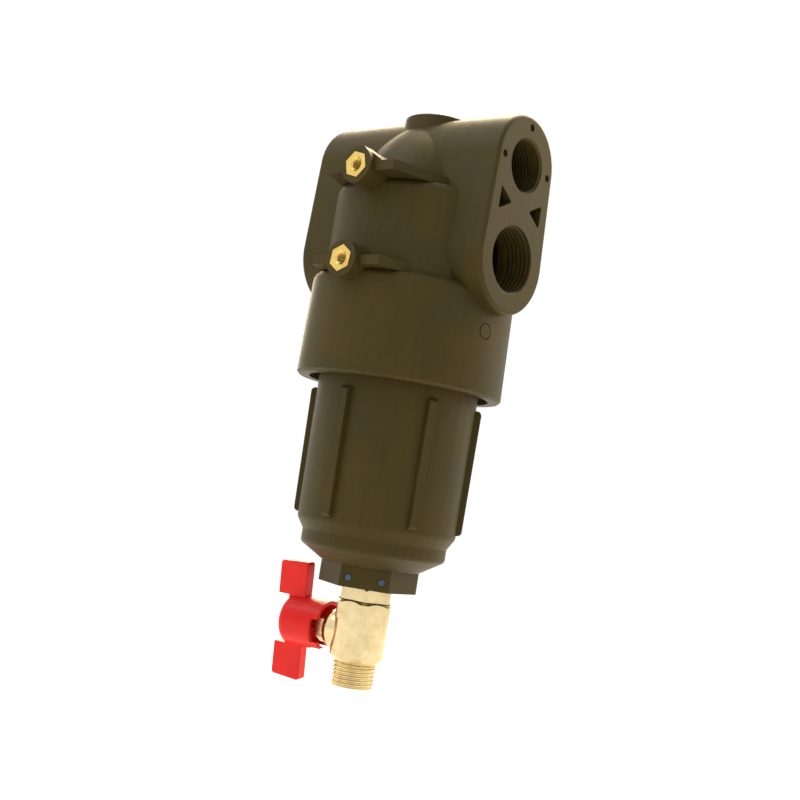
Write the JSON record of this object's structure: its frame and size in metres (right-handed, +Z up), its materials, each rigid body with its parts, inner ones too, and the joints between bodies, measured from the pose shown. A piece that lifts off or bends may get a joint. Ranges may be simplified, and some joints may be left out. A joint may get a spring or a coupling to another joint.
{
  "type": "inline filter",
  "caption": "Inline liquid filter: black head with threaded ports and bracket inserts, ribbed screw-on bowl with a cleanable element, and a brass ball valve with a red handle at its drain.",
  "frame": {"origin": "midway between the two threaded mounting inserts, on their outer faces", "axes": "+Z up along the filter's axis, X along the ports, -Y out of the mounting face"},
  "size_m": [0.11, 0.1065, 0.2812],
  "materials": {
    "black_moulding": "fine satin, glass-filled",
    "insert_brass": "bright machined",
    "valve_brass": "bright, lightly nickel-plated",
    "red_enamel": "satin enamel on a casting",
    "pin_steel": "ground",
    "rubber_seal": "moulded",
    "seat_plastic": "machined fluoropolymer",
    "white_plastic": "moulded",
    "steel_mesh": "woven mesh",
    "chromed_ball": "polished"
  },
  "bodies": {
    "head": {"head": "black_moulding", "insert_upper": "insert_brass", "insert_lower": "insert_brass"},
    "element": {"element_top_cap": "white_plastic", "spigot_seal": "rubber_seal", "element_cage": "white_plastic", "element_mesh": "steel_mesh", "element_bottom_cap": "white_plastic"},
    "bowl": {"bowl": "black_moulding", "bowl_seal": "rubber_seal", "outlet_bush": "insert_brass", "bush_seal": "rubber_seal", "bush_pin_left": "pin_steel", "bush_pin_right": "pin_steel", "tailpiece": "valve_brass", "valve_gasket": "rubber_seal", "valve_body": "valve_brass", "seat_upper": "seat_plastic", "seat_lower": "seat_plastic", "stem_packing": "seat_plastic", "gland_nut": "valve_brass"},
    "valve_rotor": {"ball": "chromed_ball", "stem": "valve_brass", "stem_washer": "seat_plastic", "handle": "red_enamel", "handle_nut": "pin_steel"}
  },
  "joints": [
    {"name": "element_drop", "type": "slide", "parent": "head", "child": "element", "axis": [0, 0, -1], "range_m": [0, 0.018]},
    {"name": "bowl_unscrew", "type": "hinge", "parent": "element", "child": "bowl", "pos_m": [0, 0.0565, -0.1], "axis": [0, 0, -1], "range_deg": [0, 1080]},
    {"name": "valve_turn", "type": "hinge", "parent": "bowl", "child": "valve_rotor", "pos_m": [0, 0.0565, -0.1916], "axis": [0.9903, 0.1392, 0], "range_deg": [-6.6, 83.4]}
  ],
  "couplings": [
    {"joint": "bowl_unscrew", "follows": "element_drop", "rad_per_m": 1047.2}
  ]
}
